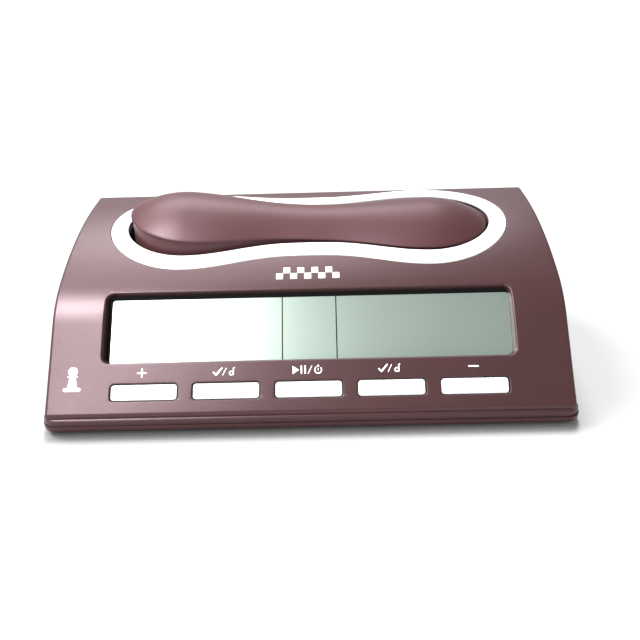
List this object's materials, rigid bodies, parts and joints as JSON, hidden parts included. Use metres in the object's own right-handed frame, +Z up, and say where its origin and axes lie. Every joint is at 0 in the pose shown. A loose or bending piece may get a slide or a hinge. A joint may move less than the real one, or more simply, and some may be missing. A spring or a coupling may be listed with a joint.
{
  "type": "chess clock",
  "caption": "Wedge-shaped digital chess clock: long blank display and a row of keys on the sloping front, and a rocker in a white ring on the crown that tips to either player.",
  "frame": {"origin": "on the table, under the middle of the case's width and depth", "axes": "+X to the right as a player reads the display, +Y to the back of the case, +Z up"},
  "size_m": [0.159, 0.085, 0.0513],
  "materials": {
    "maroon_shell": "fine spark-textured moulded ABS, satin",
    "dark_inner": "plain moulded ABS, matte",
    "white_trim": "smooth moulded ABS, semi-gloss",
    "white_key": "smooth moulded ABS, satin",
    "inner_white": "natural moulded acetal",
    "lcd_glass": "polished glass over a grey-green reflective film",
    "lcd_rear": "glass with a reflective film",
    "screw_steel": "zinc-plated steel",
    "nickel": "nickel-plated spring steel",
    "gold_pad": "gold-plated copper",
    "board_green": "solder-masked glass-epoxy",
    "chip_black": "cured resin",
    "zebra_rubber": "layered silicone",
    "key_rubber": "moulded silicone",
    "foot_rubber": "moulded rubber",
    "cell_wrap": "printed sleeve, plain",
    "brass_disc": "bare brass",
    "ribbon_grey": "flat cable insulation",
    "wire_red": "wire insulation",
    "wire_black": "wire insulation",
    "wire_white": "wire insulation"
  },
  "bodies": {
    "case": {"upper_case": "maroon_shell", "lower_case": "maroon_shell", "rocker_bed": "dark_inner", "buzzer_holder": "dark_inner", "trim_ring": "white_trim", "pivot_bush_front": "inner_white", "pivot_bush_rear": "inner_white", "lcd_frame": "inner_white", "lcd_front_glass": "lcd_glass", "lcd_rear_glass": "lcd_rear", "switch_board_screws": "screw_steel", "bed_screws": "screw_steel", "main_board_screws": "screw_steel", "case_screws": "screw_steel", "pivot_pin": "screw_steel", "rod_spring_left": "screw_steel", "rod_spring_right": "screw_steel", "crystal": "screw_steel", "battery_spring": "nickel", "battery_plate": "nickel", "battery_bridge": "nickel", "contact_left": "gold_pad", "contact_right": "gold_pad", "switch_board": "board_green", "main_board": "board_green", "controller_chip": "chip_black", "board_components": "chip_black", "zebra_strip": "zebra_rubber", "keypad_mat": "key_rubber", "foot_front_left": "foot_rubber", "foot_front_right": "foot_rubber", "foot_back_left": "foot_rubber", "foot_back_right": "foot_rubber", "cell_front": "cell_wrap", "cell_rear": "cell_wrap", "buzzer_disc": "brass_disc", "ribbon_cable": "ribbon_grey", "battery_wire_red": "wire_red", "battery_wire_black": "wire_black", "buzzer_wire": "wire_white"},
    "rocker": {"rocker_cap": "maroon_shell", "rocker_frame": "dark_inner", "rocker_screws": "screw_steel"},
    "push_rod_left": {"push_rod_left": "inner_white"},
    "push_rod_right": {"push_rod_right": "inner_white"},
    "key_plus": {"key_plus": "white_key"},
    "key_confirm_left": {"key_confirm_left": "white_key"},
    "key_play": {"key_play": "white_key"},
    "key_confirm_right": {"key_confirm_right": "white_key"},
    "key_minus": {"key_minus": "white_key"},
    "battery_door": {"battery_door": "maroon_shell"}
  },
  "joints": [
    {"name": "rocker_hinge", "type": "hinge", "parent": "case", "child": "rocker", "pos_m": [0, 0.0166, 0.034], "axis": [0, 1, 0], "range_deg": [-5.8, 0]},
    {"name": "rod_left_slide", "type": "slide", "parent": "case", "child": "push_rod_left", "axis": [0, 0, 1], "range_m": [-0.00265, 0], "deforming": ["rod_spring_left"]},
    {"name": "rod_right_slide", "type": "slide", "parent": "case", "child": "push_rod_right", "axis": [0, 0, 1], "range_m": [0, 0.00265], "deforming": ["rod_spring_right"]},
    {"name": "key_plus_press", "type": "slide", "parent": "case", "child": "key_plus", "axis": [0, 0.7133, -0.7009], "range_m": [0, 0.0006], "stiffness_N_per_m": 300, "springref_m": -0.0015, "deforming": ["keypad_mat"]},
    {"name": "key_confirm_left_press", "type": "slide", "parent": "case", "child": "key_confirm_left", "axis": [0, 0.7133, -0.7009], "range_m": [0, 0.0006], "stiffness_N_per_m": 300, "springref_m": -0.0015, "deforming": ["keypad_mat"]},
    {"name": "key_play_press", "type": "slide", "parent": "case", "child": "key_play", "axis": [0, 0.7133, -0.7009], "range_m": [0, 0.0006], "stiffness_N_per_m": 300, "springref_m": -0.0015, "deforming": ["keypad_mat"]},
    {"name": "key_confirm_right_press", "type": "slide", "parent": "case", "child": "key_confirm_right", "axis": [0, 0.7133, -0.7009], "range_m": [0, 0.0006], "stiffness_N_per_m": 300, "springref_m": -0.0015, "deforming": ["keypad_mat"]},
    {"name": "key_minus_press", "type": "slide", "parent": "case", "child": "key_minus", "axis": [0, 0.7133, -0.7009], "range_m": [0, 0.0006], "stiffness_N_per_m": 300, "springref_m": -0.0015, "deforming": ["keypad_mat"]},
    {"name": "battery_door_swing", "type": "hinge", "parent": "case", "child": "battery_door", "pos_m": [0, 0.0054, 0.0008], "axis": [-1, 0, 0], "range_deg": [0, 70]}
  ],
  "couplings": [
    {"joint": "rod_left_slide", "follows": "rocker_hinge", "m_per_rad": 0.026},
    {"joint": "rod_right_slide", "follows": "rocker_hinge", "m_per_rad": -0.026}
  ]
}
